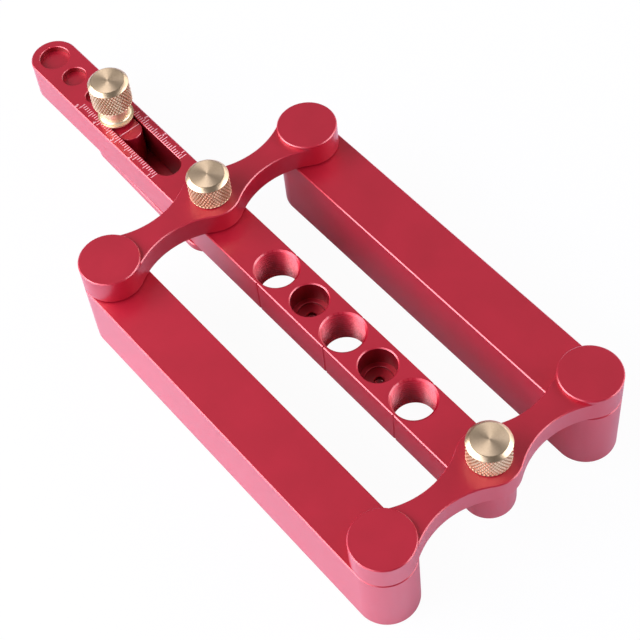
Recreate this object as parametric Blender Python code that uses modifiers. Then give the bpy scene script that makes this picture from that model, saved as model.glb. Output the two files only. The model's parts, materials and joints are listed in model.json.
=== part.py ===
# Self-centring dowel drilling jig. Two links turn on a centre bar and carry a fence at each end, so
# that the bar stays halfway between the fences. A stop swings under the bar's far end, on a slider.
# Metres, +Z up, +X along the bar. The fences stand on z = 0 and the whole is centred on X and Y.

import math

import bmesh
import bpy
from mathutils import Vector

# Fits
GAP = 0.0003  # between pieces that touch, and all round a screw in its hole
SLIDE_GAP = 0.00025  # each side of the slider in its slot
EDGE = 0.0003  # chamfer on machined edges
OVERRUN = 0.001  # how far a cut runs past the face it opens

# Centre bar: threaded guide holes with blind holes between them, and a land beside and between
BAR_THICKNESS = 0.0135
GUIDE_COUNT = 3
GUIDE_BORE = 0.0136
GUIDE_RIM = 0.0144
BLIND_BORE = 0.0118
BLIND_RIM = 0.0124
BLIND_DEPTH = 0.0075
BLIND_STEP_BORE = 0.0094
BLIND_STEP_DEPTH = 0.0008
PILOT_BORE = 0.0034
PILOT_DEPTH = 0.0008
HOLE_LAND = 0.002225
SIDE_LAND = 0.0007
INDEX_GROOVE_WIDTH = 0.0009
INDEX_GROOVE_DEPTH = 0.0004

# Far end of the bar: the slider's slot, then shallow drill-size recesses out to the rounded tip
SLOT_START = 0.0244
SLOT_TRAVEL = 0.030
RECESS_WALL = 0.00305
RECESS_BORES = (0.006, 0.008, 0.010)
RECESS_PITCH = 0.01165
RECESS_DEPTH = 0.0021
RECESS_CONE = 0.0004

# Screws
SCREW_DIAMETER = 0.006
SCREW_HEAD_DIAMETER = 0.0112
SCREW_ENGAGEMENT = 0.0065
FENCE_SCREW_HEAD_DIAMETER = 0.0085
FENCE_SCREW_HEAD_HEIGHT = 0.0045
FENCE_SCREW_THREAD = 0.005
FENCE_SCREW_ENGAGEMENT = 0.0062
HEX_KEY = 0.004
HEX_DEPTH = 0.0018
WASHER_DIAMETER = 0.0105
WASHER_THICKNESS = 0.001
HEAD_LAND = 0.0003

# Links and fences
FENCE_WIDTH = 0.019
FENCE_HEIGHT = 0.0245
FENCE_SEAT_DEPTH = 0.009
LINK_REACH = 0.0385
LINK_WAIST = 0.0076
LINK_THICKNESS = 0.0078
BOSS_RISE = 0.0013

# Slider and swinging stop
SLIDER_WALL = 0.0008
SLIDER_LENGTH = 0.0068
SLIDER_SINK = 0.001
STOP_REACH = 0.047
STOP_HEEL = 0.002  # round end's centre past the clamp screw
STOP_THICKNESS = 0.0029
STOP_INSET = 0.0004
STOP_YAW = math.radians(-1.2)
STOP_SETTING = 0.0278  # slot's near round end to the clamp screw

# Knurled nuts
NUT_DIAMETER = 0.0132
NUT_HEIGHT = 0.009
NUT_CHAMFER = 0.0012
ARM_HEAD_HEIGHT = 0.0098
FLANGE_DIAMETER = 0.01145
FLANGE_THICKNESS = 0.0013
NECK_DIAMETER = 0.0090
NECK_FLARE = 0.0011

# Facets in a full turn
FINE = 40
COARSE = 20

# Worked out from the sizes above
BAR_WIDTH = GUIDE_RIM + 2 * SIDE_LAND
GUIDE_PITCH = GUIDE_RIM + BLIND_RIM + 2 * HOLE_LAND
PIVOT_SPAN = (GUIDE_COUNT + 1) * GUIDE_PITCH
SCREW_HOLE = SCREW_DIAMETER + 2 * GAP
SLIDER_WIDTH = SCREW_HOLE + 2 * SLIDER_WALL
SLOT_WIDTH = SLIDER_WIDTH + 2 * SLIDE_GAP
SLOT_END = SLOT_START + SLOT_TRAVEL
FIRST_RECESS = SLOT_END + SLOT_WIDTH / 2 + RECESS_WALL + RECESS_BORES[0] / 2
TIP_REACH = FIRST_RECESS + (len(RECESS_BORES) - 1) * RECESS_PITCH
STOP_WIDTH = BAR_WIDTH - 2 * STOP_INSET
FAR_X = (TIP_REACH + BAR_WIDTH / 2 - PIVOT_SPAN - FENCE_WIDTH / 2) / 2
NEAR_X = FAR_X + PIVOT_SPAN
CLAMP_X = FAR_X - SLOT_START - STOP_SETTING
BAR_BOTTOM = FENCE_HEIGHT - BAR_THICKNESS
STOP_BOTTOM = BAR_BOTTOM - GAP - STOP_THICKNESS
LINK_BOTTOM = FENCE_HEIGHT + GAP
NUT_BOTTOM = LINK_BOTTOM + LINK_THICKNESS + GAP
NUT_TOP = NUT_BOTTOM + NUT_HEIGHT
ARM_NUT_BOTTOM = FENCE_HEIGHT + GAP
ARM_NUT_HEIGHT = NUT_TOP - ARM_NUT_BOTTOM
WASHER_TOP = FENCE_SEAT_DEPTH - GAP
SCREW_HEAD_TOP = WASHER_TOP - WASHER_THICKNESS - GAP


def clear_scene():
    for item in list(bpy.data.objects):
        bpy.data.objects.remove(item, do_unlink=True)


def collection(name, parent):
    made = bpy.data.collections.new(name)
    parent.children.link(made)
    return made


def finish(name, colour, roughness, metallic):
    material = bpy.data.materials.new(name)
    material.use_nodes = True
    surface = material.node_tree.nodes["Principled BSDF"]
    surface.inputs["Base Color"].default_value = (*colour, 1.0)
    surface.inputs["Roughness"].default_value = roughness
    surface.inputs["Metallic"].default_value = metallic
    return material


# Outlines: each is a list of (x, y) points that closes on itself


def arc(centre, radius, start, end, facets=FINE):
    """Points from start to end degrees, leaving out the last one for the next stretch to give."""
    steps = max(2, round(facets * abs(end - start) / 360))
    angles = [math.radians(start + (end - start) * step / steps) for step in range(steps)]
    return [(centre[0] + radius * math.cos(a), centre[1] + radius * math.sin(a)) for a in angles]


def stadium(start_x, end_x, radius, facets=FINE):
    return arc((end_x, 0), radius, -90, 90, facets) + arc((start_x, 0), radius, 90, 270, facets)


def link_arcs():
    """Waist arc's centre distance, its radius, and the angle at which it meets the end circles."""
    radius = FENCE_WIDTH / 2
    half = LINK_REACH / 2
    narrowing = radius - LINK_WAIST / 2
    offset = (half**2 - narrowing**2) / (2 * narrowing)
    return offset, offset - LINK_WAIST / 2, math.degrees(math.atan2(half, offset))


def link_outline():
    """Three equal circles in a row along Y, joined on both sides by arcs tangent to each of them."""
    radius = FENCE_WIDTH / 2
    half = LINK_REACH / 2
    offset, waist, meet = link_arcs()
    points = arc((0, LINK_REACH), radius, -meet, 180 + meet)
    points += arc((-offset, half), waist, meet, -meet)
    points += arc((0, 0), radius, 180 - meet, 180 + meet)
    points += arc((-offset, -half), waist, meet, -meet)
    points += arc((0, -LINK_REACH), radius, 180 - meet, 360 + meet)
    points += arc((offset, -half), waist, 180 + meet, 180 - meet)
    points += arc((0, 0), radius, -meet, meet)
    points += arc((offset, half), waist, 180 + meet, 180 - meet)
    return points


def web_outline():
    """The link's middle, between its two end bosses: it meets each boss where the waist arcs do."""
    radius = FENCE_WIDTH / 2
    half = LINK_REACH / 2
    offset, _, meet = link_arcs()
    corner_x = radius * math.cos(math.radians(meet))
    corner_y = LINK_REACH - radius * math.sin(math.radians(meet))
    points = arc((0, LINK_REACH), radius, -meet, meet - 180)
    points += [(-corner_x, corner_y), (-offset, half), (-offset, -half)]
    points += arc((0, -LINK_REACH), radius, 180 - meet, meet)
    points += [(corner_x, -corner_y), (offset, -half), (offset, half)]
    return points


# Solids: each stands on its own z = 0 unless its points say otherwise


def add(name, mesh, group):
    made = bpy.data.objects.new(name, mesh)
    group.objects.link(made)
    return made


def plate(name, outline, height, group):
    """A flat outline, filled and extruded upwards, as one closed mesh with single end faces."""
    curve = bpy.data.curves.new(name, "CURVE")
    curve.dimensions = "2D"
    curve.fill_mode = "BOTH"
    curve.extrude = height / 2
    spline = curve.splines.new("POLY")
    spline.points.add(len(outline) - 1)
    for point, (x, y) in zip(spline.points, outline):
        point.co = (x, y, 0, 1)
    spline.use_cyclic_u = True
    drawn = add(name, curve, group)
    graph = bpy.context.evaluated_depsgraph_get()
    mesh = bpy.data.meshes.new_from_object(drawn.evaluated_get(graph))
    bpy.data.objects.remove(drawn, do_unlink=True)
    shape = bmesh.new()
    shape.from_mesh(mesh)
    bmesh.ops.remove_doubles(shape, verts=shape.verts, dist=1e-6)
    bmesh.ops.translate(shape, verts=shape.verts, vec=(0, 0, height / 2))
    bmesh.ops.dissolve_limit(
        shape, angle_limit=math.radians(1), verts=shape.verts, edges=shape.edges
    )
    bmesh.ops.recalc_face_normals(shape, faces=shape.faces)
    shape.to_mesh(mesh)
    shape.free()
    return add(name, mesh, group)


def turned(name, profile, group, facets=FINE, ring=False):
    """(radius, z) points down the outer side, spun about Z. A ring's profile closes off the axis."""
    shape = bmesh.new()
    points = [shape.verts.new((radius, 0, z)) for radius, z in profile]
    pairs = list(zip(points, points[1:]))
    if ring:
        pairs.append((points[-1], points[0]))
    for pair in pairs:
        shape.edges.new(pair)
    mesh = bpy.data.meshes.new(name)
    shape.to_mesh(mesh)
    shape.free()
    made = add(name, mesh, group)
    spin = made.modifiers.new("spin", "SCREW")
    spin.steps = facets
    spin.render_steps = facets
    spin.use_merge_vertices = True
    spin.merge_threshold = 1e-6
    spin.use_smooth_shade = True
    return made


def hexagon(name, across_flats, height, group):
    shape = bmesh.new()
    corner = across_flats / math.sqrt(3)
    bmesh.ops.create_cone(
        shape, cap_ends=True, segments=6, radius1=corner, radius2=corner, depth=height
    )
    bmesh.ops.translate(shape, verts=shape.verts, vec=(0, 0, height / 2))
    mesh = bpy.data.meshes.new(name)
    shape.to_mesh(mesh)
    shape.free()
    return add(name, mesh, group)


def chamfer_edges(piece):
    bevel = piece.modifiers.new("chamfer", "BEVEL")
    bevel.width = EDGE
    bevel.segments = 1
    bevel.limit_method = "ANGLE"
    bevel.angle_limit = math.radians(50)


def cut(piece, cutter, x, y, z):
    """Takes the cutter, placed at a point of the piece's own frame, out of the piece."""
    cutter.parent = piece
    cutter.location = (x, y, z)
    cutter.display_type = "WIRE"
    cutter.hide_render = True
    boolean = piece.modifiers.new(cutter.name, "BOOLEAN")
    boolean.operation = "DIFFERENCE"
    boolean.solver = "EXACT"
    boolean.object = cutter


def seat(piece, point, carrier, material):
    """Puts a piece's origin at a point of the whole, and hangs it on the piece that carries it."""
    piece.parent = carrier
    piece.location = Vector(point) - (carrier.matrix_world.translation if carrier else Vector())
    piece.data.materials.append(material)
    piece.data.shade_smooth()
    piece.data.set_sharp_from_angle(angle=math.radians(30))
    bpy.context.view_layer.update()


# Cutter profiles


def through_hole(bore, rim, depth):
    """A bore with a chamfer at both mouths, from z = 0 up through depth."""
    bevel = (rim - bore) / 2
    wide = rim / 2 + OVERRUN
    return [
        (0, depth + OVERRUN),
        (wide, depth + OVERRUN),
        (bore / 2, depth - bevel),
        (bore / 2, bevel),
        (wide, -OVERRUN),
        (0, -OVERRUN),
    ]


def blind_hole():
    """A stepped hole down from z = 0, with a drilled point at its centre."""
    bevel = (BLIND_RIM - BLIND_BORE) / 2
    wide = BLIND_RIM / 2 + OVERRUN
    step = BLIND_DEPTH + BLIND_STEP_DEPTH
    return [
        (0, OVERRUN),
        (wide, OVERRUN),
        (BLIND_BORE / 2, -bevel),
        (BLIND_BORE / 2, -BLIND_DEPTH),
        (BLIND_STEP_BORE / 2, -BLIND_DEPTH),
        (BLIND_STEP_BORE / 2, -step),
        (PILOT_BORE / 2, -step),
        (PILOT_BORE / 2, -step - PILOT_DEPTH),
        (0, -step - PILOT_DEPTH - PILOT_BORE / 2),
    ]


def size_recess(bore):
    wide = bore / 2 + EDGE + OVERRUN
    return [
        (0, OVERRUN),
        (wide, OVERRUN),
        (bore / 2, -EDGE),
        (bore / 2, -RECESS_DEPTH),
        (0, -RECESS_DEPTH - RECESS_CONE),
    ]


def countersink(depth):
    """Clearance for a countersunk screw that stands in a hole of this depth, head down."""
    head = SCREW_HEAD_DIAMETER / 2 + GAP
    hole = SCREW_HOLE / 2
    return [
        (0, depth + OVERRUN),
        (hole, depth + OVERRUN),
        (hole, HEAD_LAND + head - hole),
        (head, HEAD_LAND),
        (head, -OVERRUN),
        (0, -OVERRUN),
    ]


def counterbore(wide, wide_depth, narrow, depth):
    """A wide seat from below and a narrow hole on through to depth."""
    return [
        (0, depth + OVERRUN),
        (narrow / 2, depth + OVERRUN),
        (narrow / 2, wide_depth),
        (wide / 2, wide_depth),
        (wide / 2, -OVERRUN),
        (0, -OVERRUN),
    ]


# Pieces


def centre_bar(group, cutters):
    """Round-ended bar, with its origin on the far pivot and z = 0 at its underside."""
    outline = stadium(-TIP_REACH, PIVOT_SPAN, BAR_WIDTH / 2)
    bar = plate("centre_bar", outline, BAR_THICKNESS, group)
    chamfer_edges(bar)
    for index in range(GUIDE_COUNT):
        x = (index + 1) * GUIDE_PITCH
        hole = through_hole(GUIDE_BORE, GUIDE_RIM, BAR_THICKNESS)
        cut(bar, turned(f"guide_cutter_{index + 1}", hole, cutters), x, 0, 0)
        for side in (-1, 1):
            cut_index_groove(bar, cutters, index, x, side)
    for index in range(GUIDE_COUNT - 1):
        x = (index + 1.5) * GUIDE_PITCH
        cut(bar, turned(f"blind_cutter_{index + 1}", blind_hole(), cutters), x, 0, BAR_THICKNESS)
    for index, bore in enumerate(RECESS_BORES):
        x = -FIRST_RECESS - index * RECESS_PITCH
        recess = turned(f"recess_cutter_{index + 1}", size_recess(bore), cutters)
        cut(bar, recess, x, 0, BAR_THICKNESS)
    slot = stadium(-SLOT_END, -SLOT_START, SLOT_WIDTH / 2)
    slot_cutter = plate("slot_cutter", slot, BAR_THICKNESS + 2 * OVERRUN, cutters)
    cut(bar, slot_cutter, 0, 0, -OVERRUN)
    for index, x in enumerate((0, PIVOT_SPAN)):
        hole = turned(f"pivot_cutter_{index + 1}", countersink(BAR_THICKNESS), cutters)
        cut(bar, hole, x, 0, 0)
    return bar


def cut_index_groove(bar, cutters, index, x, side):
    """Upright V groove in the bar's side, level with a guide hole's centre."""
    face = side * BAR_WIDTH / 2
    bottom = face - side * INDEX_GROOVE_DEPTH
    mouth = face + side * OVERRUN
    spread = INDEX_GROOVE_WIDTH / 2 * (1 + OVERRUN / INDEX_GROOVE_DEPTH)
    outline = [(0, bottom), (spread, mouth), (-spread, mouth)]
    name = f"groove_cutter_{index + 1}_{'left' if side < 0 else 'right'}"
    groove = plate(name, outline, BAR_THICKNESS + 2 * OVERRUN, cutters)
    cut(bar, groove, x, 0, -OVERRUN)


def link(name, group, cutters):
    """Waisted link with a raised boss at each end, with its origin on its own middle pivot."""
    made = plate(name, link_outline(), LINK_THICKNESS + BOSS_RISE, group)
    web = plate(f"{name}_web_cutter", web_outline(), BOSS_RISE + OVERRUN, cutters)
    cut(made, web, 0, 0, LINK_THICKNESS)
    chamfer_edges(made)
    hole = through_hole(SCREW_HOLE, SCREW_HOLE + 2 * EDGE, LINK_THICKNESS)
    cut(made, turned(f"{name}_pivot_cutter", hole, cutters), 0, 0, 0)
    for side in (-1, 1):
        radius = FENCE_SCREW_THREAD / 2 + GAP
        depth = FENCE_SCREW_ENGAGEMENT + GAP
        tapped = [(0, depth), (radius, depth), (radius, -OVERRUN), (0, -OVERRUN)]
        cutter = turned(f"{name}_tapped_cutter_{side}", tapped, cutters, COARSE)
        cut(made, cutter, 0, side * LINK_REACH, 0)
    return made


def fence(name, group, cutters):
    """Round-ended fence with a counterbored hole at each end, with its origin on the far one."""
    made = plate(name, stadium(0, PIVOT_SPAN, FENCE_WIDTH / 2), FENCE_HEIGHT, group)
    chamfer_edges(made)
    for index, x in enumerate((0, PIVOT_SPAN)):
        seat_bore = WASHER_DIAMETER + 2 * GAP
        bore = counterbore(seat_bore, FENCE_SEAT_DEPTH, SCREW_HOLE, FENCE_HEIGHT)
        cut(made, turned(f"{name}_cutter_{index + 1}", bore, cutters), x, 0, 0)
    return made


def swing_stop(group, cutters):
    """Flat round-ended arm, with its origin on the clamp screw."""
    made = plate("swing_stop", stadium(-STOP_HEEL, STOP_REACH, STOP_WIDTH / 2), STOP_THICKNESS, group)
    chamfer_edges(made)
    cut(made, turned("stop_cutter", countersink(STOP_THICKNESS), cutters), 0, 0, 0)
    made.rotation_euler.z = STOP_YAW
    return made


def index_slider(group, cutters):
    """Round-ended block that fills the slot beside the clamp screw."""
    height = BAR_THICKNESS - SLIDER_SINK - GAP
    outline = stadium(0, SLIDER_LENGTH, SLIDER_WIDTH / 2)
    made = plate("index_slider", outline, height, group)
    hole = through_hole(SCREW_HOLE, SCREW_HOLE, height)
    cut(made, turned("slider_cutter", hole, cutters), 0, 0, 0)
    return made


def flat_head_screw(name, length, group, cutters):
    """Countersunk screw standing on its head, with a hexagon socket in its flat face."""
    head = SCREW_HEAD_DIAMETER / 2
    shank = SCREW_DIAMETER / 2
    profile = [
        (0, length),
        (shank - EDGE, length),
        (shank, length - EDGE),
        (shank, HEAD_LAND + head - shank),
        (head, HEAD_LAND),
        (head, 0),
        (0, 0),
    ]
    screw = turned(name, profile, group, COARSE)
    socket = hexagon(f"{name}_socket_cutter", HEX_KEY, HEX_DEPTH + OVERRUN, cutters)
    cut(screw, socket, 0, 0, -OVERRUN)
    return screw


def fence_screw(name, group, cutters):
    """Shoulder screw: the fence turns on its shoulder and its thread holds in the link's boss."""
    head = FENCE_SCREW_HEAD_DIAMETER / 2
    shoulder = SCREW_DIAMETER / 2
    thread = FENCE_SCREW_THREAD / 2
    shoulder_top = FENCE_HEIGHT - SCREW_HEAD_TOP + FENCE_SCREW_HEAD_HEIGHT
    length = shoulder_top + GAP + FENCE_SCREW_ENGAGEMENT
    profile = [
        (0, length),
        (thread - EDGE, length),
        (thread, length - EDGE),
        (thread, shoulder_top),
        (shoulder, shoulder_top),
        (shoulder, FENCE_SCREW_HEAD_HEIGHT),
        (head, FENCE_SCREW_HEAD_HEIGHT),
        (head, EDGE),
        (head - EDGE, 0),
        (0, 0),
    ]
    screw = turned(name, profile, group, COARSE)
    socket = hexagon(f"{name}_socket_cutter", HEX_KEY, HEX_DEPTH + OVERRUN, cutters)
    cut(screw, socket, 0, 0, -OVERRUN)
    return screw


def washer(name, group):
    outer = WASHER_DIAMETER / 2
    inner = SCREW_HOLE / 2
    top = WASHER_THICKNESS
    profile = [(outer, top), (outer, 0), (inner, 0), (inner, top)]
    return turned(name, profile, group, COARSE, ring=True)


def nut_bore():
    """The blind screw hole of a nut, up from its underside and in to the axis."""
    hole = SCREW_HOLE / 2
    depth = SCREW_ENGAGEMENT + GAP
    return [(hole + EDGE, 0), (hole, EDGE), (hole, depth), (0, depth + hole / 2)]


def thumb_nut(name, group):
    radius = NUT_DIAMETER / 2
    profile = [
        (0, NUT_HEIGHT),
        (radius - NUT_CHAMFER, NUT_HEIGHT),
        (radius, NUT_HEIGHT - NUT_CHAMFER),
        (radius, EDGE),
        (radius - EDGE, 0),
    ]
    return turned(name, profile + nut_bore(), group)


def arm_nut(group):
    """Taller nut: the same knurled head on a smooth neck that flares into a round flange."""
    radius = NUT_DIAMETER / 2
    flange = FLANGE_DIAMETER / 2
    neck = NECK_DIAMETER / 2
    head_bottom = ARM_NUT_HEIGHT - ARM_HEAD_HEIGHT
    rim = FLANGE_THICKNESS / 2
    flare_centre = (neck + NECK_FLARE, FLANGE_THICKNESS + NECK_FLARE)
    profile = [
        (0, ARM_NUT_HEIGHT),
        (radius - NUT_CHAMFER, ARM_NUT_HEIGHT),
        (radius, ARM_NUT_HEIGHT - NUT_CHAMFER),
        (radius, head_bottom + EDGE),
        (radius - EDGE, head_bottom),
        (neck, head_bottom),
    ]
    profile += arc(flare_centre, NECK_FLARE, 180, 285, COARSE)
    profile += arc((flange - rim, rim), rim, 75, -90, COARSE)
    profile += [(flange - rim, 0)]
    return turned("arm_nut", profile + nut_bore(), group)


def build():
    clear_scene()
    group = collection("dowel_drilling_jig", bpy.context.scene.collection)
    cutters = collection("cutters", bpy.context.scene.collection)
    cutters.hide_render = True
    red = finish("red_anodised_aluminium", (0.46, 0.022, 0.042), 0.34, 0.75)
    brass = finish("brass", (0.60, 0.45, 0.28), 0.30, 1.0)
    steel = finish("zinc_plated_steel", (0.56, 0.56, 0.57), 0.35, 1.0)

    bar = centre_bar(group, cutters)
    seat(bar, (FAR_X, 0, BAR_BOTTOM), None, red)

    ends = (("far", FAR_X), ("near", NEAR_X))
    links = {}
    for end, x in ends:
        screw_length = NUT_BOTTOM + SCREW_ENGAGEMENT - BAR_BOTTOM
        screw = flat_head_screw(f"{end}_pivot_screw", screw_length, group, cutters)
        seat(screw, (x, 0, BAR_BOTTOM), bar, steel)
        links[end] = link(f"{end}_link", group, cutters)
        seat(links[end], (x, 0, LINK_BOTTOM), bar, red)
        nut = thumb_nut(f"{end}_thumb_nut", group)
        seat(nut, (x, 0, NUT_BOTTOM), bar, brass)

    for side, y in (("left", -LINK_REACH), ("right", LINK_REACH)):
        seat(fence(f"{side}_fence", group, cutters), (FAR_X, y, 0), links["far"], red)
        for end, x in ends:
            screw = fence_screw(f"{side}_{end}_fence_screw", group, cutters)
            seat(screw, (x, y, SCREW_HEAD_TOP - FENCE_SCREW_HEAD_HEIGHT), links[end], steel)
            ring = washer(f"{side}_{end}_washer", group)
            seat(ring, (x, y, WASHER_TOP - WASHER_THICKNESS), links[end], steel)

    slider = index_slider(group, cutters)
    seat(slider, (CLAMP_X, 0, BAR_BOTTOM + GAP), bar, red)
    clamp_length = ARM_NUT_BOTTOM + SCREW_ENGAGEMENT - STOP_BOTTOM
    clamp = flat_head_screw("clamp_screw", clamp_length, group, cutters)
    seat(clamp, (CLAMP_X, 0, STOP_BOTTOM), slider, steel)
    seat(swing_stop(group, cutters), (CLAMP_X, 0, STOP_BOTTOM), slider, red)
    seat(arm_nut(group), (CLAMP_X, 0, ARM_NUT_BOTTOM), slider, brass)


build()
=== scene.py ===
# Dowel drilling jig, dressed for the picture: anodised aluminium, turned brass and zinc plate.
# Every shape is drawn in millimetres round its own pivot and then set at its place in the frame.

import json
import math

import bmesh
import bpy
from mathutils import Matrix, Vector


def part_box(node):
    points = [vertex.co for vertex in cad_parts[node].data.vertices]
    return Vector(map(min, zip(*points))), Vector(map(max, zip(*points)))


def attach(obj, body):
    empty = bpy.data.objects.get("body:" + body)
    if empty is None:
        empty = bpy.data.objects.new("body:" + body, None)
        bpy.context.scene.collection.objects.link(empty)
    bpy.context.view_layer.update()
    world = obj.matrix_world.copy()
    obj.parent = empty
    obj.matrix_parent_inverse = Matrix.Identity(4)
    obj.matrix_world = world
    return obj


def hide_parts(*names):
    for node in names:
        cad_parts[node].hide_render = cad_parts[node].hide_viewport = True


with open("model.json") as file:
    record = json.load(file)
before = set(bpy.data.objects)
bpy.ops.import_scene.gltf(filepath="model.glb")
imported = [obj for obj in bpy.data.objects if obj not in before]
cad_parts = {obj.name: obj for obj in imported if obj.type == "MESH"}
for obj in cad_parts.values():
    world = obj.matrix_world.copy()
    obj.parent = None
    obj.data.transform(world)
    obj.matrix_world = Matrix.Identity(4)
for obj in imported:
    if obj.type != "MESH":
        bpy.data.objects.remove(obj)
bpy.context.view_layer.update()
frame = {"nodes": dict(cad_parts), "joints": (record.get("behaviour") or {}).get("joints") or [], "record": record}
hingeAt = {joint["name"]: joint["pos_m"] for joint in frame["joints"] if "pos_m" in joint}
farX = hingeAt["link_fold"][0]
nearX = hingeAt["near_link_fold"][0]
clampX = hingeAt["stop_swing"][0]
over = 1.0  # mm, how far a cutter reaches past the face it opens
hair = 0.01  # mm, slack where points and faces are picked by place
print("frame loaded:", len(frame["nodes"]), "nodes")

# Tools for shapes


def arcEdges(shape, centre, radius, start, end, steps):
    angle = math.radians(start)
    first = (centre[0] + radius * math.cos(angle), centre[1] + radius * math.sin(angle), 0)
    bmesh.ops.spin(  # one point swept into an arc, angles in degrees
        shape,
        geom=[shape.verts.new(first)],
        cent=(*centre, 0),
        axis=(0, 0, 1),
        angle=math.radians(end - start),
        steps=steps,
        use_duplicate=False,
    )


def stadium(startX, endX, radius, steps=96):
    shape = bmesh.new()
    bmesh.ops.create_circle(shape, cap_ends=True, radius=radius, segments=steps)
    halfStep = Matrix.Rotation(math.pi / steps, 4, "Z")  # so that an edge crosses the middle
    bmesh.ops.rotate(shape, verts=shape.verts, cent=(0, 0, 0), matrix=halfStep)
    farHalf = [vert for vert in shape.verts if vert.co.x > 0]
    bmesh.ops.translate(shape, verts=farHalf, vec=(endX - startX, 0, 0))
    bmesh.ops.translate(shape, verts=shape.verts, vec=(startX, 0, 0))
    return shape


def raiseUp(shape, bottom, top):
    bmesh.ops.translate(shape, verts=shape.verts, vec=(0, 0, bottom))
    liftFaces(shape, shape.faces[:], top - bottom)
    bmesh.ops.recalc_face_normals(shape, faces=shape.faces)
    return shape


def liftFaces(shape, faces, height):
    grown = bmesh.ops.extrude_face_region(shape, geom=faces)
    lifted = [item for item in grown["geom"] if isinstance(item, bmesh.types.BMVert)]
    bmesh.ops.translate(shape, verts=lifted, vec=(0, 0, height))


def turned(profile, steps=72, ring=False):
    # Profile of (radius, z) points swept once round; a ring's profile closes on itself
    shape = bmesh.new()
    points = [shape.verts.new((radius, 0, z)) for radius, z in profile]
    pairs = list(zip(points, points[1:]))
    if ring:
        pairs.append((points[-1], points[0]))
    for pair in pairs:
        shape.edges.new(pair)
    sweep(shape, steps)
    return shape


def sweep(shape, steps):
    bmesh.ops.spin(
        shape,
        geom=shape.verts[:] + shape.edges[:],
        cent=(0, 0, 0),
        axis=(0, 0, 1),
        angle=math.tau,
        steps=steps,
        use_merge=True,
        use_duplicate=False,
    )
    bmesh.ops.remove_doubles(shape, verts=shape.verts, dist=0.0005)
    bmesh.ops.recalc_face_normals(shape, faces=shape.faces)


def mouthAbove(radius, ease, top):
    # Profile of a hole's eased mouth, from the axis above the top face down to the hole's wall
    return [(0, top + over), (radius + ease + over, top + over), (radius, top - ease)]


def mouthBelow(radius, ease):
    # The same in an underside at z = 0, from the hole's wall back to the axis
    return [(radius, ease), (radius + ease + over, -over), (0, -over)]


def plainHole(radius, top, steps):
    return turned([(0, top + over), (radius, top + over), (radius, -over), (0, -over)], steps)


def arcPoints(x, z, radius, start, end, steps):
    angles = [math.radians(start + (end - start) * step / steps) for step in range(steps + 1)]
    return [(x + radius * math.cos(angle), z + radius * math.sin(angle)) for angle in angles]


def middleOf(edge):
    return (edge.verts[0].co + edge.verts[1].co) / 2


def easeEdges(shape, width, test=lambda edge: True):
    # Bevels the outward corners of more than 50 degrees that pass the test
    corner = math.radians(50)
    pairs = [edge for edge in shape.edges if len(edge.link_faces) == 2]
    bmesh.ops.bevel(
        shape,
        geom=[edge for edge in pairs if edge.calc_face_angle_signed() > corner and test(edge)],
        offset=width,
        offset_type="OFFSET",
        segments=1,
        profile=0.5,
        affect="EDGES",
        material=-1,
    )


def moved(shape, x, y, z):
    bmesh.ops.translate(shape, verts=shape.verts, vec=(x, y, z))
    return shape


def asObject(name, shape):
    mesh = bpy.data.meshes.new(name)
    shape.to_mesh(mesh)
    shape.free()
    made = bpy.data.objects.new(name, mesh)
    bpy.context.scene.collection.objects.link(made)
    return made


def carve(piece, shapes):
    cutters = [asObject(f"{piece.name}_cutter_{index}", shape) for index, shape in enumerate(shapes)]
    for cutter in cutters:
        boolean = piece.modifiers.new(cutter.name, "BOOLEAN")
        boolean.operation = "DIFFERENCE"
        boolean.solver = "EXACT"
        boolean.object = cutter
    graph = bpy.context.evaluated_depsgraph_get()
    carved = bpy.data.meshes.new_from_object(piece.evaluated_get(graph))
    piece.modifiers.clear()
    piece.data = carved
    for cutter in cutters:
        bpy.data.objects.remove(cutter, do_unlink=True)


def reshape(piece, change):
    shape = bmesh.new()
    shape.from_mesh(piece.data)
    change(shape)
    shape.to_mesh(piece.data)
    shape.free()


def dress(piece, node, material, at, turn=0.0, sharp=32):
    # From millimetres round its pivot to metres in the frame, with its finish and body
    place = Matrix.Translation(Vector(at)) @ Matrix.Rotation(turn, 4, "Z") @ Matrix.Scale(0.001, 4)
    piece.data.transform(place)
    piece.data.materials.append(material)
    piece.data.shade_smooth()
    piece.data.set_sharp_from_angle(angle=math.radians(sharp))
    evened = piece.modifiers.new("flat faces stay flat", "WEIGHTED_NORMAL")
    evened.keep_sharp = True
    evened.weight = 80
    rideOn = next(body for body, nodes in frame["record"]["behaviour"]["bodies"].items() if node in nodes)
    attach(piece, rideOn)


# Tools for materials


def fromHex(text):
    parts = [int(text[place : place + 2], 16) / 255 for place in (0, 2, 4)]
    return (*((c / 12.92 if c <= 0.04045 else ((c + 0.055) / 1.055) ** 2.4) for c in parts), 1.0)


def addNode(tree, kind, settings=None, links=None):
    # A key is a property's or a socket's name, or a socket's number where several share a name
    made = tree.nodes.new(kind)
    for name, value in (settings or {}).items():
        if isinstance(name, str) and hasattr(made, name):
            setattr(made, name, value)
        else:
            made.inputs[name].default_value = value
    for name, source in (links or {}).items():
        tree.links.new(source, made.inputs[name])
    return made


def newMaterial(name):
    material = bpy.data.materials.new(name)
    material.use_nodes = True
    material.node_tree.nodes.clear()
    return material, material.node_tree


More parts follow.
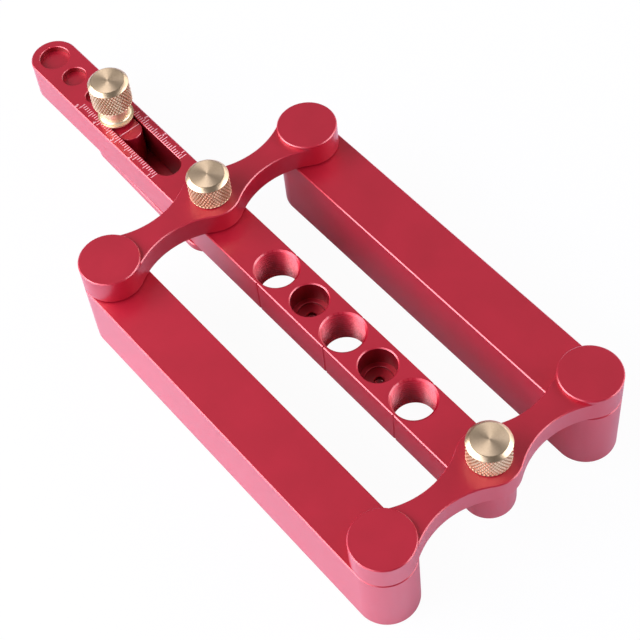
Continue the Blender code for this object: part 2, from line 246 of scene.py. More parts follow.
anodised = {
    "deep": "C40B30",  # dye where it took a little more
    "light": "CE1038",
    "grainSize": 0.3,  # mm, glass bead blast of about 0.1 drawn coarser so that it shows
    "grainDepth": 0.0016,  # mm
    "patchSize": 14,  # mm
    "patchRange": (0.3, 0.7),  # of the noise, spread over the two roughnesses
    "roughLow": 0.5,
    "roughHigh": 0.56,
    "metalShare": 0.6,  # the dyed film scatters the rest
    "cutMetalShare": 0.85,  # cut after blasting, so it scatters less
    "boreFilm": 0.7,
    "pocketFilm": 0.55,
    "pocketShadeDeep": "960A1C",  # painted shade: a darker dye for the walls of the slot and the holes, where shade falls
    "pocketShadeLight": "A20E28",
    "filmIor": 1.76,  # aluminium oxide
    "filmRoughness": 0.28,
}


def anodisedAluminium(name, metalShare, film, deep, light):
    # Bead-blasted aluminium, dyed red under a clear oxide film: satin, with a white gloss at a slant
    material, tree = newMaterial(name)
    place = addNode(tree, "ShaderNodeTexCoord").outputs["Object"]
    patch = addNode(
        tree,
        "ShaderNodeTexNoise",
        {"Scale": 1000 / anodised["patchSize"], "Detail": 3.0, "Roughness": 0.55},
        {"Vector": place},
    ).outputs["Fac"]
    dye = addNode(
        tree,
        "ShaderNodeMix",
        {"data_type": "RGBA", 6: fromHex(deep), 7: fromHex(light)},
        {0: patch},
    ).outputs[2]
    patchLow, patchHigh = anodised["patchRange"]
    rough = addNode(
        tree,
        "ShaderNodeMapRange",
        {
            "From Min": patchLow,
            "From Max": patchHigh,
            "To Min": anodised["roughLow"],
            "To Max": anodised["roughHigh"],
        },
        {"Value": patch},
    ).outputs["Result"]
    grain = addNode(
        tree,
        "ShaderNodeTexNoise",
        {"Scale": 1000 / anodised["grainSize"], "Detail": 2.0, "Roughness": 0.6},
        {"Vector": place},
    ).outputs["Fac"]
    bump = addNode(
        tree,
        "ShaderNodeBump",
        {"Strength": 1.0, "Distance": anodised["grainDepth"] / 1000},
        {"Height": grain},
    ).outputs["Normal"]
    surface = addNode(
        tree,
        "ShaderNodeBsdfPrincipled",
        {
            "Metallic": metalShare,
            "Coat Weight": film,
            "Coat IOR": anodised["filmIor"],
            "Coat Roughness": anodised["filmRoughness"],
        },
        {"Base Color": dye, "Roughness": rough, "Normal": bump},
    ).outputs["BSDF"]
    addNode(tree, "ShaderNodeOutputMaterial", links={"Surface": surface})
    return material


brass = {
    # One brass in three tones by place: the knurl lighter as painted light, the chamfer darker as painted shade
    # that tones down its highlight
    "endTones": ("D8BEA0", "E6D0B6"),
    "knurlTones": ("ECD4AA", "FCEACA"),
    "chamferTones": ("DABC98", "E8CFB2"),
    "groove": "A8845A",  # painted shade: a darker colour deep in the knurl's grooves
    "knurlMetalShare": 0.74,  # the knurl's torn crests scatter the rest
    "roughness": 0.32,
    "ringRoughness": 0.6,
    "ringStretch": 0.65,  # how much more the lathe's rings spread light across than along
    "ringTurn": 0.13,  # of a turn: across the rings, less the lay of the facing cut
    "scratchSize": 0.5,  # mm
}


def turnedBrass(place):
    # Free-cutting brass, turned and bright: pale yellow metal; the end face shows its lathe rings
    material, tree = newMaterial(f"turned_brass_{place}")
    # each place takes its own tones, which paint light and shade onto the one brass
    dark, light = brass[f"{place}Tones"]
    spot = addNode(tree, "ShaderNodeTexCoord").outputs["Object"]
    scratch = addNode(
        tree,
        "ShaderNodeTexNoise",
        {"Scale": 1000 / brass["scratchSize"], "Detail": 2.0},
        {"Vector": spot},
    ).outputs["Fac"]
    brassTone = addNode(
        tree,
        "ShaderNodeMix",
        {"data_type": "RGBA", 6: fromHex(dark), 7: fromHex(light)},
        {0: scratch},
    ).outputs[2]
    # painted shade: darker towards the bottom of the knurl's grooves
    groove = addNode(tree, "ShaderNodeAttribute", {"attribute_name": "groove_depth"}).outputs["Fac"]
    grooveShaded = addNode(
        tree,
        "ShaderNodeMix",
        {"data_type": "RGBA", 7: fromHex(brass["groove"])},
        {0: groove, 6: brassTone},
    ).outputs[2]
    links = {"Base Color": grooveShaded}
    metalShare = brass["knurlMetalShare"] if place == "knurl" else 1.0
    settings = {"Metallic": metalShare, "Roughness": brass["roughness"]}
    if place == "end":
        settings |= {
            "Roughness": brass["ringRoughness"],
            "Anisotropic": brass["ringStretch"],
            "Anisotropic Rotation": brass["ringTurn"],
        }
        links["Tangent"] = addNode(
            tree, "ShaderNodeTangent", {"direction_type": "UV_MAP", "uv_map": "lathe"}
        ).outputs["Tangent"]
    surface = addNode(tree, "ShaderNodeBsdfPrincipled", settings, links).outputs["BSDF"]
    addNode(tree, "ShaderNodeOutputMaterial", links={"Surface": surface})
    return material


zinc = {"colour": "C9CCD0", "cloudSize": 2.5, "roughLow": 0.22, "roughHigh": 0.42}


def zincPlate():
    # Bright zinc on turned steel: cool grey metal with a faintly cloudy plate
    material, tree = newMaterial("zinc_plated_steel")
    place = addNode(tree, "ShaderNodeTexCoord").outputs["Object"]
    cloud = addNode(
        tree,
        "ShaderNodeTexNoise",
        {"Scale": 1000 / zinc["cloudSize"], "Detail": 4.0},
        {"Vector": place},
    ).outputs["Fac"]
    rough = addNode(
        tree,
        "ShaderNodeMapRange",
        {"To Min": zinc["roughLow"], "To Max": zinc["roughHigh"]},
        {"Value": cloud},
    ).outputs["Result"]
    surface = addNode(
        tree,
        "ShaderNodeBsdfPrincipled",
        {"Base Color": fromHex(zinc["colour"]), "Metallic": 1.0},
        {"Roughness": rough},
    ).outputs["BSDF"]
    addNode(tree, "ShaderNodeOutputMaterial", links={"Surface": surface})
    return material


etched = {"tones": ("FFA8BA", "FFD6DE"), "speckleSize": 0.25, "roughness": 0.7}


def etchedMark():
    # Laser-etched line: the dye is burnt off, which leaves pale matt oxide
    material, tree = newMaterial("laser_etched_oxide")
    dark, light = etched["tones"]
    place = addNode(tree, "ShaderNodeTexCoord").outputs["Object"]
    speckle = addNode(
        tree,
        "ShaderNodeTexNoise",
        {"Scale": 1000 / etched["speckleSize"], "Detail": 2.0},
        {"Vector": place},
    ).outputs["Fac"]
    colour = addNode(
        tree,
        "ShaderNodeMix",
        {"data_type": "RGBA", 6: fromHex(dark), 7: fromHex(light)},
        {0: speckle},
    ).outputs[2]
    surface = addNode(
        tree,
        "ShaderNodeBsdfPrincipled",
        {"Roughness": etched["roughness"]},
        {"Base Color": colour},
    ).outputs["BSDF"]
    addNode(tree, "ShaderNodeOutputMaterial", links={"Surface": surface})
    return material


dyes = (anodised["deep"], anodised["light"])
pocketShadeDyes = (anodised["pocketShadeDeep"], anodised["pocketShadeLight"])
cutShare = anodised["cutMetalShare"]
redFinish = anodisedAluminium("anodised_aluminium_red", anodised["metalShare"], 1.0, *dyes)
boreFinish = anodisedAluminium("anodised_bore_red", cutShare, anodised["boreFilm"], *dyes)
# painted shade: the pocket finish is the red dye darkened for the walls of the slot and the holes
pocketShadeFinish = anodisedAluminium("anodised_red_pocket_shade", cutShare, anodised["pocketFilm"], *pocketShadeDyes)
brassKnurl = turnedBrass("knurl")
brassEnd = turnedBrass("end")
brassChamfer = turnedBrass("chamfer")
steelFinish = zincPlate()
markFinish = etchedMark()
print("materials made")

# Centre bar, drawn from the far pivot with z = 0 at its underside

bar = {
    "thickness": 13.5,
    "radius": 7.9,
    "tip": 88.1,  # far pivot to the centre of the tip's round
    "span": 125.0,
    "pitch": 31.25,  # of the guide holes
    "edge": 0.3,
    "slot": (-54.4, -24.4, 4.35, 0.18),  # two end centres, radius, eased edge
    "recesses": ((-64.8, 6.0), (-76.45, 8.0), (-88.1, 10.0)),  # centre, across
    "recessDepth": 2.1,
    "recessEase": 0.2,
    "nick": (1.0, 5.3, 168),  # across, reach from the largest recess's centre, degrees round it
    "nickLift": 0.07,
    "screwHead": (5.9, 0.3, 3.3),  # countersink radius, land, hole radius
    "groove": 0.42,  # depth of the index grooves in the sides
}
guide = {
    "crest": 13.1,
    "root": 14.0,
    "rim": 14.6,
    "pitch": 1.0,
    "steps": 64,
    "tooth": ((0.0, "crest"), (0.14, "crest"), (0.44, "root"), (0.70, "root")),  # at shares of the pitch
    "startBelow": 2.3,  # pitches below the underside
    "drillUnder": 0.1,  # the plain hole's wall stands this far inside the crests
    "mouthUnder": 0.4,  # and the mouth's cone ends this far inside them
}
blind = {
    "bore": 11.8,
    "rim": 12.5,
    "depth": 7.5,
    "step": 8.8,
    "stepDepth": 0.8,
    "stepEase": 0.2,
    "pilot": 2.9,
    "pilotDepth": 1.6,
    "pilotEase": 0.25,
    "point": 0.6,  # of the pilot's radius, for a drill of 118 degrees
}
guideAt = [bar["pitch"] * share for share in (1, 2, 3)]
blindAt = [bar["pitch"] * share for share in (1.5, 2.5)]


def threadCutter():
    shape = bmesh.new()
    pitch = guide["pitch"]
    turns = math.ceil(bar["thickness"] / pitch) + 4  # past both faces
    points = []
    for turn in range(turns):
        for share, level in guide["tooth"]:
            z = (turn + share - guide["startBelow"]) * pitch
            points.append(shape.verts.new((guide[level] / 2, 0, z)))
    for pair in zip(points, points[1:]):
        shape.edges.new(pair)
    bmesh.ops.spin(  # one full turn that climbs one pitch meets itself a tooth higher
        shape,
        geom=shape.verts[:] + shape.edges[:],
        cent=(0, 0, 0),
        axis=(0, 0, 1),
        dvec=(0, 0, pitch / guide["steps"]),
        angle=math.tau,
        steps=guide["steps"],
        use_duplicate=False,
    )
    bmesh.ops.remove_doubles(shape, verts=shape.verts, dist=0.002)
    openEdges = [edge for edge in shape.edges if edge.is_boundary]
    caps = bmesh.ops.holes_fill(shape, edges=openEdges, sides=0)["faces"]
    bmesh.ops.poke(shape, faces=caps)
    bmesh.ops.recalc_face_normals(shape, faces=shape.faces)
    return shape


def coneCutter(wide, narrow, z):
    # A 45 degree mouth: wide at z, down to narrow below it
    depth = wide - narrow
    shape = bmesh.new()
    bmesh.ops.create_cone(
        shape, cap_ends=True, segments=96, radius1=narrow, radius2=wide, depth=depth
    )
    return moved(shape, 0, 0, z - depth / 2)


def guideCutters(x):
    # Both mouths of a guide hole, and the plain hole that its thread is cut into afterwards
    thick = bar["thickness"]
    wide = guide["rim"] / 2 + over
    narrow = guide["crest"] / 2 - guide["mouthUnder"]
    above = coneCutter(wide, narrow, thick + over)
    under = coneCutter(wide, narrow, over)
    bmesh.ops.scale(under, verts=under.verts, vec=(1, 1, -1))
    bmesh.ops.reverse_faces(under, faces=under.faces)
    drilled = plainHole(guide["crest"] / 2 - guide["drillUnder"], thick, 80)
    return [moved(shape, x, 0, 0) for shape in (above, under, drilled)]


def blindCutter(x):
    # A stepped hole with a pilot drilled on into its floor
    bore, rim, step, pilot = (blind[name] / 2 for name in ("bore", "rim", "step", "pilot"))
    stepEase, pilotEase = blind["stepEase"], blind["pilotEase"]
    ledge = -blind["depth"]
    floor = ledge - blind["stepDepth"]
    pilotFloor = floor - blind["pilotDepth"]
    profile = mouthAbove(bore, rim - bore, 0) + [(bore, ledge)]
    profile += [(step + stepEase, ledge), (step, ledge - stepEase), (step, floor)]
    profile += [(pilot + pilotEase, floor), (pilot, floor - pilotEase), (pilot, pilotFloor)]
    profile.append((0, pilotFloor - pilot * blind["point"]))
    return moved(turned(profile, 96), x, 0, bar["thickness"])


def recessCutter(x, across):
    radius, floor = across / 2, -bar["recessDepth"]
    profile = mouthAbove(radius, bar["recessEase"], 0) + [(radius, floor), (0, floor)]
    return moved(turned(profile, 80), x, 0, bar["thickness"])


def nickCutter():
    across, reach, angle = bar["nick"]
    away = math.radians(angle)
    shape = bmesh.new()
    bmesh.ops.create_uvsphere(shape, u_segments=16, v_segments=8, radius=across / 2)
    x = bar["recesses"][-1][0] + reach * math.cos(away)
    return moved(shape, x, reach * math.sin(away), bar["thickness"] + bar["nickLift"])


def countersink(x, top):
    head, land, hole = bar["screwHead"]
    profile = [(0, top + over), (hole, top + over), (hole, land + head - hole), (head, land)]
    return moved(turned(profile + mouthBelow(head, 0.0), 64), x, 0, 0)


def grooveCutter(x, side):
    # A square rod on edge, taller than the bar and sunk into its side
    size = 4.0
    shape = bmesh.new()
    bmesh.ops.create_cube(shape, size=size)
    bmesh.ops.scale(shape, verts=shape.verts, vec=(1, 1, 6))
    slant = Matrix.Rotation(math.radians(45), 4, "Z")
    bmesh.ops.rotate(shape, verts=shape.verts, cent=(0, 0, 0), matrix=slant)
    y = side * (bar["radius"] + size / math.sqrt(2) - bar["groove"])
    return moved(shape, x, y, bar["thickness"] / 2)


def isInside(spot, circles):
    return any(math.hypot(spot.x - x, spot.y) < radius + 0.02 for x, radius in circles)


def finishHoles(piece, at):
    # Threads show cut metal; the slot, and the walls of blind holes and recesses, get a darker dye, which is
    # painted shade
    slotStart, slotEnd, slotRadius = bar["slot"][:3]
    slotReach = (slotEnd - slotStart) / 2 + slotRadius + 0.02
    bores =[(x, guide["root"] / 2) for x in guideAt]
    pockets = [(x, blind["bore"] / 2) for x in blindAt]
    pockets += [(x, across / 2) for x, across in bar["recesses"]]
    piece.data.materials.append(boreFinish)
    piece.data.materials.append(pocketShadeFinish)
    for face in piece.data.polygons:
        spot = (face.center - Vector(at)) * 1000
        upright = abs(face.normal.z) < 0.5
        inSlot = abs(spot.y) < slotRadius + 0.02 and abs(spot.x - (slotStart + slotEnd) / 2) < slotReach
        if not 0.05 < spot.z < bar["thickness"] - 0.05:
            continue  # the bar's own top and underside
        if isInside(spot, bores):
            face.material_index = 1
        elif inSlot or (upright and isInside(spot, pockets)):
            face.material_index = 2


def makeBar():
    thick = bar["thickness"]
    piece = asObject("bar_body", raiseUp(stadium(-bar["tip"], bar["span"], bar["radius"]), 0, thick))
    slotStart, slotEnd, slotRadius, slotEdge = bar["slot"]
    carve(piece, [raiseUp(stadium(slotStart, slotEnd, slotRadius), -over, thick + over)])

    def onSlot(edge):
        middle = middleOf(edge)
        return abs(middle.y) < slotRadius + 0.1 and slotStart - 5 < middle.x < slotEnd + 5

    def ease(shape):
        easeEdges(shape, slotEdge, onSlot)
        easeEdges(shape, bar["edge"], lambda edge: not onSlot(edge))

    reshape(piece, ease)
    cutters = [cutter for x in guideAt for cutter in guideCutters(x)]
    cutters += [blindCutter(x) for x in blindAt]
    cutters += [recessCutter(x, across) for x, across in bar["recesses"]]
    cutters.append(nickCutter())
    cutters += [countersink(x, thick) for x in (0, bar["span"])]
    cutters += [grooveCutter(x, side) for x in guideAt for side in (-1, 1)]
    carve(piece, cutters)
    carve(piece, [moved(threadCutter(), x, 0, 0) for x in guideAt])
    reshape(piece, lambda shape: bmesh.ops.remove_doubles(shape, verts=shape.verts, dist=0.001))
    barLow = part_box("centre_bar")[0]
    dress(piece, "centre_bar", redFinish, (farX, 0, barLow.z))
    finishHoles(piece, (farX, 0, barLow.z))
    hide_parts("centre_bar")


makeBar()
print("centre bar made")

# Scale marks on both sides of the slot

scale = {
    "first": -63.75,  # tipmost mark from the far pivot
    "count": 41,
    "width": 0.24,
    "inner": 4.55,
    "outer": {1: 5.95, 5: 6.75, 10: 7.05},  # a mark's end by the divisions it closes
    "numbers": "54321",
    "numberAt": 6.95,
    "numberHeight": 1.35,
    "numberShift": -1.45,  # towards the tip from its mark
    "numberBold": 0.03,
    "digitShare": 0.73,  # of the font's size that a digit stands
    "thickness": 0.03,  # half of it stands proud
}


def markShape(x, fromY, toY, width, z):
    shape = bmesh.new()
    bmesh.ops.create_cube(shape, size=1)
    size = (width, abs(toY - fromY), scale["thickness"])
    bmesh.ops.scale(shape, verts=shape.verts, vec=size)
    return moved(shape, x, (fromY + toY) / 2, z)


def joinShapes(shapes):
    joined = bmesh.new()
    for shape in shapes:
        mesh = bpy.data.meshes.new("part")
        shape.to_mesh(mesh)
        shape.free()
        joined.from_mesh(mesh)
        bpy.data.meshes.remove(mesh)
    return joined


def makeScale():
    shapes = []
    top = bar["thickness"]
    for index in range(scale["count"]):
        length = scale["outer"][10 if index % 10 == 0 else 5 if index % 5 == 0 else 1]
        for side in (-1, 1):
            x = scale["first"] + index
            shapes.append(markShape(x, side * scale["inner"], side * length, scale["width"], top))
    piece = asObject("scale_marks", joinShapes(shapes))
    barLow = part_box("centre_bar")[0]
    dress(piece, "centre_bar", markFinish, (farX, 0, barLow.z))


def digitShape(digit):
    words = bpy.data.curves.new("number", "FONT")
    words.body = digit
    words.size = scale["numberHeight"] / scale["digitShare"]
    words.align_x = "CENTER"
    words.align_y = "CENTER"
    words.extrude = scale["thickness"] / 2
    words.offset = scale["numberBold"]
    holder = bpy.data.objects.new("number", words)
    bpy.context.scene.collection.objects.link(holder)
    graph = bpy.context.evaluated_depsgraph_get()
    graph.update()
    mesh = bpy.data.meshes.new_from_object(holder.evaluated_get(graph))
    shape = bmesh.new()
    shape.from_mesh(mesh)
    bpy.data.objects.remove(holder, do_unlink=True)
    bpy.data.curves.remove(words)
    bpy.data.meshes.remove(mesh)
    return shape


def makeNumbers():
    shapes = []
    halfTurn = Matrix.Rotation(math.pi, 4, "Z")
    for index, digit in enumerate(scale["numbers"]):
        for side in (-1, 1):
            shape = digitShape(digit)
            if side > 0:
                bmesh.ops.rotate(shape, verts=shape.verts, cent=(0, 0, 0), matrix=halfTurn)
            x = scale["first"] + index * 10 + scale["numberShift"]
            shapes.append(moved(shape, x, side * scale["numberAt"], bar["thickness"]))
    piece = asObject("scale_numbers", joinShapes(shapes))
    reshape(piece, lambda shape: bmesh.ops.remove_doubles(shape, verts=shape.verts, dist=0.0005))
    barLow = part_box("centre_bar")[0]
    dress(piece, "centre_bar", markFinish, (farX, 0, barLow.z))


makeScale()
makeNumbers()
print("scale made")

# Links and fences

link = {
    "reach": 38.5,
    "radius": 9.5,
    "waist": 7.6,
    "thickness": 7.8,
    "rise": 1.3,
    "edge": 0.3,
    "hole": 3.3,
    "holeEase": 0.3,
    "tapped": (2.8, 6.5, 0.25, 0.8),  # radius, depth, eased mouth, drill's point
}


def linkArcs():
    # The waist arc's centre and radius, and the angle at which it meets the rounds
    half = link["reach"] / 2
    narrowing = link["radius"] - link["waist"] / 2
    offset = (half**2 - narrowing**2) / (2 * narrowing)
    return half, offset, offset - link["waist"] / 2, math.degrees(math.atan2(half, offset))


def linkShape():
    # Three rounds in a row, joined by waist arcs; the two end rounds are drawn whole for their bosses
    half, offset, waist, meet = linkArcs()
    reach, radius = link["reach"], link["radius"]
    shape = bmesh.new()
    arcEdges(shape, (0, reach), radius, -meet, 180 + meet, 66)
    arcEdges(shape, (0, reach), radius, 180 + meet, 360 - meet, 30)
    arcEdges(shape, (-offset, half), waist, meet, -meet, 26)
    arcEdges(shape, (0, 0), radius, 180 - meet, 180 + meet, 18)
    arcEdges(shape, (-offset, -half), waist, meet, -meet, 26)
    arcEdges(shape, (0, -reach), radius, 180 - meet, 360 + meet, 66)
    arcEdges(shape, (0, -reach), radius, meet, 180 - meet, 30)
    arcEdges(shape, (offset, -half), waist, 180 + meet, 180 - meet, 26)
    arcEdges(shape, (0, 0), radius, -meet, meet, 18)
    arcEdges(shape, (offset, half), waist, 180 + meet, 180 - meet, 26)
    bmesh.ops.remove_doubles(shape, verts=shape.verts, dist=0.001)

    def onRound(edge, side):
        centre = Vector((0, side * reach, 0))
        return all(abs((vert.co - centre).length - radius) < hair for vert in edge.verts)

    rounds = [[edge for edge in shape.edges if onRound(edge, side)] for side in (-1, 1)]
    corner = reach - radius * math.sin(math.radians(meet)) + hair
    inner = [edge for edge in shape.edges if all(abs(vert.co.y) < corner for vert in edge.verts)]
    for loop in (*rounds, inner):
        bmesh.ops.edgeloop_fill(shape, edges=loop)
    raiseUp(shape, 0, link["thickness"])
    tops = [face for face in shape.faces if face.normal.z > 0.9]
    bosses = [face for face in tops if abs(face.calc_center_median().y) > reach - 2]
    liftFaces(shape, bosses, link["rise"])
    bmesh.ops.delete(shape, geom=bosses, context="FACES_ONLY")
    underside = [face for face in shape.faces if face.normal.z < -0.9]
    bmesh.ops.dissolve_faces(shape, faces=underside)
    bmesh.ops.recalc_face_normals(shape, faces=shape.faces)
    return shape


def makeLink(node, x):
    reach, hole, ease = link["reach"], link["hole"], link["holeEase"]
    piece = asObject(f"{node}_body", linkShape())
    cutters = [turned(mouthAbove(hole, ease, link["thickness"]) + mouthBelow(hole, ease), 64)]
    tapped, depth, mouth, point = link["tapped"]
    for side in (-1, 1):
        profile = [(0, depth + point), (tapped, depth)] + mouthBelow(tapped, mouth)
        cutters.append(moved(turned(profile, 48), 0, side * reach, 0))
    carve(piece, cutters)

    def outside(edge):
        middle = middleOf(edge)
        return all(math.hypot(middle.x, middle.y - y) > hole + 1 for y in (-reach, 0, reach))

    reshape(piece, lambda shape: easeEdges(shape, link["edge"], outside))
    dress(piece, node, redFinish, (x, 0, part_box(node)[0].z))
    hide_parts(node)


fence = {
    "length": 125.0,
    "radius": 9.5,
    "height": 24.5,
    "edge": 0.3,
    "seat": (5.55, 9.0),  # washer's counterbore, radius and depth
    "hole": 3.3,
    "holeEase": 0.3,
}


def makeFence(node, y):
    length, height = fence["length"], fence["height"]
    piece = asObject(f"{node}_body", raiseUp(stadium(0, length, fence["radius"], 128), 0, height))
    reshape(piece, lambda shape: easeEdges(shape, fence["edge"]))
    seat, seatDepth = fence["seat"]
    hole, ease = fence["hole"], fence["holeEase"]
    profile = mouthAbove(hole, ease, height) + [(hole, seatDepth), (seat, seatDepth)]
    profile += mouthBelow(seat, ease)
    carve(piece, [moved(turned(profile, 72), x, 0, 0) for x in (0, length)])
    dress(piece, node, redFinish, (farX, y, 0))
    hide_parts(node)


makeLink("far_link", farX)
makeLink("near_link", nearX)
makeFence("left_fence", hingeAt["left_fence_pivot"][1])
makeFence("right_fence", hingeAt["right_fence_pivot"][1])
print("links and fences made")

# Slider with its index line, and swinging stop

slider = {
    "length": 6.8,
    "radius": 4.1,
    "height": 12.2,
    "hole": 3.3,
    "edge": 0.15,
    "lineWidth": 0.22,
    "lineInset": 0.2,
}


def makeSlider():
    length, radius, top = slider["length"], slider["radius"], slider["height"]
    piece = asObject("slider_block", raiseUp(stadium(0, length, radius), 0, top))
    reshape(piece, lambda shape: easeEdges(shape, slider["edge"]))
    carve(piece, [plainHole(slider["hole"], top, 64)])
    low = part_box("index_slider")[0]
    dress(piece, "index_slider", redFinish, (clampX, 0, low.z))
    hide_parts("index_slider")
    reach = radius - slider["lineInset"]
    line = asObject("index_line", markShape(length, -reach, reach, slider["lineWidth"], top))
    dress(line, "index_slider", markFinish, (clampX, 0, low.z))


stop = {
    "reach": 47.0,
    "heel": 2.0,
    "radius": 7.5,
    "thickness": 2.9,
    "edge": 0.3,
    "turn": -1.2,  # degrees from the bar, as it lies in the photo
}


def makeStop():
    shape = raiseUp(stadium(-stop["heel"], stop["reach"], stop["radius"]), 0, stop["thickness"])
    easeEdges(shape, stop["edge"])
    piece = asObject("stop_arm", shape)
    carve(piece, [countersink(0, stop["thickness"])])
    turn = math.radians(stop["turn"])
    dress(piece, "swing_stop", redFinish, (clampX, 0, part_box("swing_stop")[0].z), turn)
    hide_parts("swing_stop")


makeSlider()
makeStop()
print("slider and stop made")

# Knurled nuts

nut = {
    "radius": 6.6,
    "chamfer": 1.2,
    "rimEase": (0.12, 0.08),  # between end face and chamfer: inwards, down
    "diamonds": 37,
    "diamondHeight": 1.82,
    "knurlDepth": 0.36,
    "crest": 0.82,  # share of a diamond's rise that is left after its tip is flattened
    "columns": 8,  # facets round one diamond
    "rows": 8,
    "foot": 0.3,
    "bore": (3.3, 6.8, 0.3, 1.6),  # radius, depth, eased mouth, drill's point
}


def knurl(shape, bottom, top, radius, diamondHeight):
    grooveDepth = shape.verts.layers.float.new("groove_depth")
    for vert in shape.verts:
        reach = math.hypot(vert.co.x, vert.co.y)
        if bottom + nut["foot"] - hair < vert.co.z < top - hair and reach > radius - hair:
            turnShare = math.atan2(vert.co.y, vert.co.x) / math.tau * nut["diamonds"]
            climb = (vert.co.z - bottom - nut["foot"]) / diamondHeight
            ridges = [abs((share % 1.0) - 0.5) * 2 for share in (turnShare + climb, turnShare - climb)]
            rise = min(1.0, (1 - max(ridges)) / nut["crest"])
            outline = radius - nut["knurlDepth"] * (1 - rise)
            # how deep a point lies in the grooves, which sets the painted shade there
            vert[grooveDepth] = (1 - rise) ** 1.5
            if reach > outline:
                vert.co.x *= outline / reach
                vert.co.y *= outline / reach
    quads = [face for face in shape.faces if len(face.verts) == 4]
    for face in quads:
        middle = face.calc_center_median()
        if bottom < middle.z < top and middle.xy.length > radius - nut["knurlDepth"] - hair:
            corners = face.verts[:]
            diagonals = (corners[::2], corners[1::2])
            groove = min(diagonals, key=lambda ends: sum(end.co.xy.length for end in ends))
            bmesh.utils.face_split(face, *groove)  # so that both families of grooves run true


def spunNut(profile, bandBottom, bandTop, radius):
    # The edges on the knurled band are cut into rows before the sweep
    shape = bmesh.new()
    points = [shape.verts.new((reach, 0, z)) for reach, z in profile]
    edges = [shape.edges.new(pair) for pair in zip(points, points[1:])]
    band = bandTop - bandBottom - nut["foot"] - nut["chamfer"] + 0.1
    rowHeight = band / round(band / nut["diamondHeight"] * nut["rows"])
    for edge in edges:
        low, high = sorted(vert.co.z for vert in edge.verts)
        onBand = low >= bandBottom - hair and high <= bandTop + hair
        if onBand and min(vert.co.x for vert in edge.verts) > radius - nut["chamfer"] - hair:
            cuts = max(1, round((high - low) / rowHeight) - 1)
            bmesh.ops.subdivide_edges(shape, edges=[edge], cuts=cuts)
    sweep(shape, nut["diamonds"] * nut["columns"])
    knurl(shape, bandBottom, bandTop - nut["chamfer"], radius, rowHeight * nut["rows"])
    bmesh.ops.recalc_face_normals(shape, faces=shape.faces)
    return shape


def latheMap(piece, centre):
    # UV along and across the lathe's rings; each face is mapped from its own middle, so none spans the seam
    layer = piece.data.uv_layers.new(name="lathe")
    for face in piece.data.polygons:
        middle = math.atan2(face.center.y - centre[1], face.center.x - centre[0])
        for loopIndex in face.loop_indices:
            spot = piece.data.vertices[piece.data.loops[loopIndex].vertex_index].co
            reach = math.hypot(spot.x - centre[0], spot.y - centre[1])
            angle = middle
            if reach > 0.00001:
                away = math.atan2(spot.y - centre[1], spot.x - centre[0])
                angle += math.remainder(away - middle, math.tau)
            layer.data[loopIndex].uv = (angle / math.tau, reach * 100)


def finishNut(name, shape, node, at, topZ):
    piece = asObject(name, shape)
    dress(piece, node, brassKnurl, at, sharp=40)
    piece.data.materials.append(brassEnd)
    piece.data.materials.append(brassChamfer)
    for face in piece.data.polygons:
        down = (topZ - face.center.z) * 1000
        if face.normal.z > 0.98 and down < 0.4:  # level, at the top
            face.material_index = 1
        elif face.normal.z > 0.3 and down < nut["chamfer"]:  # slanted, just below it
            face.material_index = 2
    latheMap(piece, at)
    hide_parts(node)


def headProfile(height, bottom):
    # From the axis over the end face, its eased rim and the chamfer down to the band's foot
    radius, chamfer, foot = nut["radius"], nut["chamfer"], nut["foot"]
    inwards, down = nut["rimEase"]
    rim = radius - chamfer
    profile = [(0, height), (rim - inwards, height), (rim + down, height - down)]
    return profile + [(radius, height - chamfer), (radius, bottom + foot), (radius - foot, bottom)]


def boreProfile():
    hole, depth, ease, point = nut["bore"]
    return [(hole + ease, 0), (hole, ease), (hole, depth), (0, depth + point)]


def makeThumbNut(node, x):
    low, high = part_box(node)
    height = (high.z - low.z) * 1000
    shape = spunNut(headProfile(height, 0) + boreProfile(), 0, height - 0.1, nut["radius"])
    finishNut(f"{node}_knurled", shape, node, (x, 0, low.z), high.z)


armNut = {
    "headHeight": 9.8,
    "neck": 4.5,
    "neckEase": 0.15,
    "flare": 1.1,
    "flange": (5.725, 1.3),  # radius, thickness
}


def makeArmNut():
    low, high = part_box("arm_nut")
    height = (high.z - low.z) * 1000
    headBottom = height - armNut["headHeight"]
    neck, ease, flare = armNut["neck"], armNut["neckEase"], armNut["flare"]
    flange, thick = armNut["flange"]
    lip = thick / 2
    profile = headProfile(height, headBottom)
    profile += [(neck + ease, headBottom), (neck, headBottom - ease)]
    profile += arcPoints(neck + flare, thick + flare, flare, 180, 285, 8)
    profile += arcPoints(flange - lip, lip, lip, 75, -90, 10)
    shape = spunNut(profile + boreProfile(), headBottom, height - 0.1, nut["radius"])
    finishNut("arm_nut_knurled", shape, "arm_nut", (clampX, 0, low.z), high.z)


makeThumbNut("far_thumb_nut", farX)
makeThumbNut("near_thumb_nut", nearX)
makeArmNut()
print("nuts made")

# Screws and washers

screw = {
    "radius": 3.0,
    "tipEase": 0.5,
    "head": 5.6,
    "land": 0.3,
    "landEase": 0.12,
    "key": 4.0,
    "keyDepth": 1.8,
    "keyEase": 0.25,
    "keyPoint": 0.7,  # height of the drill's point past the hexagon
    "capHead": (4.25, 4.5, 0.2, 0.4),  # radius, height, eased edge below and above
    "thread": (2.5, 6.5, 0.4),  # radius, length, eased tip
}
washer = {"outer": 5.25, "inner": 3.3, "outerEase": 0.12, "innerEase": 0.1}


